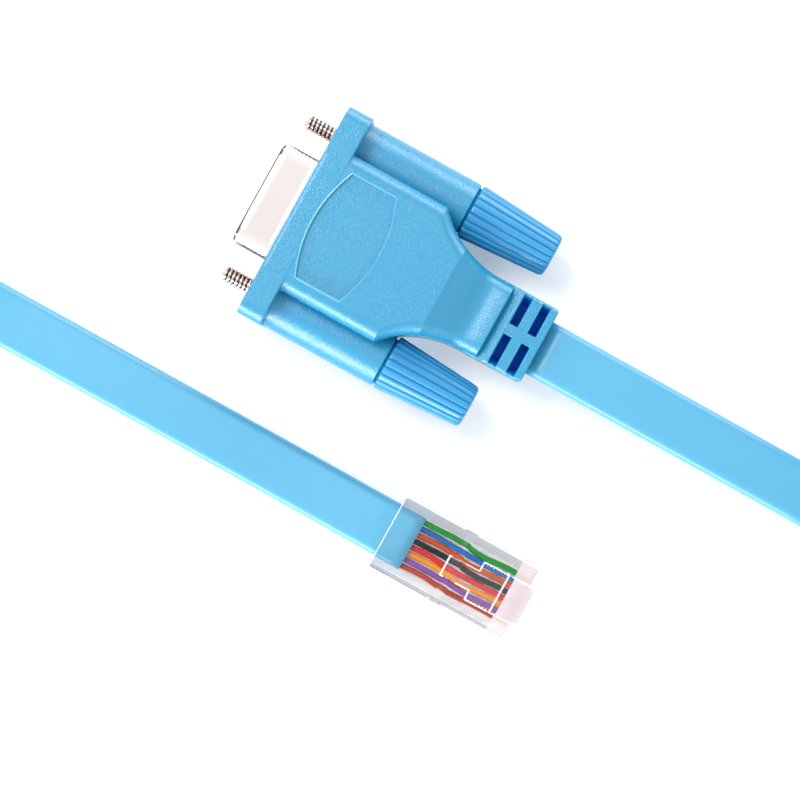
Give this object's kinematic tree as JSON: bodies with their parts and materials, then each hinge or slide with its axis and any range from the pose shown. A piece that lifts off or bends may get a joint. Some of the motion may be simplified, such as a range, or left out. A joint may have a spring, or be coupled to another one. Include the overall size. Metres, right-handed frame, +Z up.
{
  "type": "flat console cable",
  "caption": "Flat light blue cable between a moulded serial socket hood with thumbscrews and a clear modular plug, spare length coiled and tied.",
  "frame": {"origin": "on the floor, under the middle of the serial hood and its shell", "axes": "+X runs along the hood from its mating end to its cable end, +Y across it, +Z up from the floor it lies on"},
  "size_m": [0.2287, 0.1099, 0.019],
  "materials": {
    "hood_moulding": "spark textured",
    "knob_moulding": "satin, fluted",
    "cable_jacket": "satin",
    "nickel_steel": "nickel plated",
    "socket_insulator": "satin",
    "gold_plate": "bright",
    "clear_plastic": "clear, polished",
    "tie_fabric": "woven",
    "wire_brown": "satin",
    "wire_purple": "satin",
    "wire_yellow": "satin",
    "wire_red": "satin",
    "wire_black": "satin",
    "wire_orange": "satin",
    "wire_blue": "satin",
    "wire_green": "satin"
  },
  "bodies": {
    "cable": {"hood": "hood_moulding", "d_shell": "nickel_steel", "socket_insert": "socket_insulator", "socket_contact_1": "gold_plate", "socket_contact_2": "gold_plate", "socket_contact_3": "gold_plate", "socket_contact_4": "gold_plate", "socket_contact_5": "gold_plate", "socket_contact_6": "gold_plate", "socket_contact_7": "gold_plate", "socket_contact_8": "gold_plate", "socket_contact_9": "gold_plate", "cable_from_hood": "cable_jacket", "cable_coil": "cable_jacket", "cable_to_plug": "cable_jacket", "coil_tie": "tie_fabric", "modular_plug": "clear_plastic", "plug_contact_1": "gold_plate", "plug_contact_2": "gold_plate", "plug_contact_3": "gold_plate", "plug_contact_4": "gold_plate", "plug_contact_5": "gold_plate", "plug_contact_6": "gold_plate", "plug_contact_7": "gold_plate", "plug_contact_8": "gold_plate", "wire_1": "wire_brown", "wire_2": "wire_purple", "wire_3": "wire_yellow", "wire_4": "wire_red", "wire_5": "wire_black", "wire_6": "wire_orange", "wire_7": "wire_blue", "wire_8": "wire_green"},
    "thumbscrew_left": {"knob_left": "knob_moulding", "jackscrew_left": "nickel_steel"},
    "thumbscrew_right": {"knob_right": "knob_moulding", "jackscrew_right": "nickel_steel"}
  },
  "joints": [
    {"name": "left_screw_turn", "type": "hinge", "parent": "cable", "child": "thumbscrew_left", "pos_m": [0, 0.01249, 0.00775], "axis": [1, 0, 0], "continuous": true},
    {"name": "right_screw_turn", "type": "hinge", "parent": "cable", "child": "thumbscrew_right", "pos_m": [0, -0.01249, 0.00775], "axis": [1, 0, 0], "continuous": true}
  ]
}
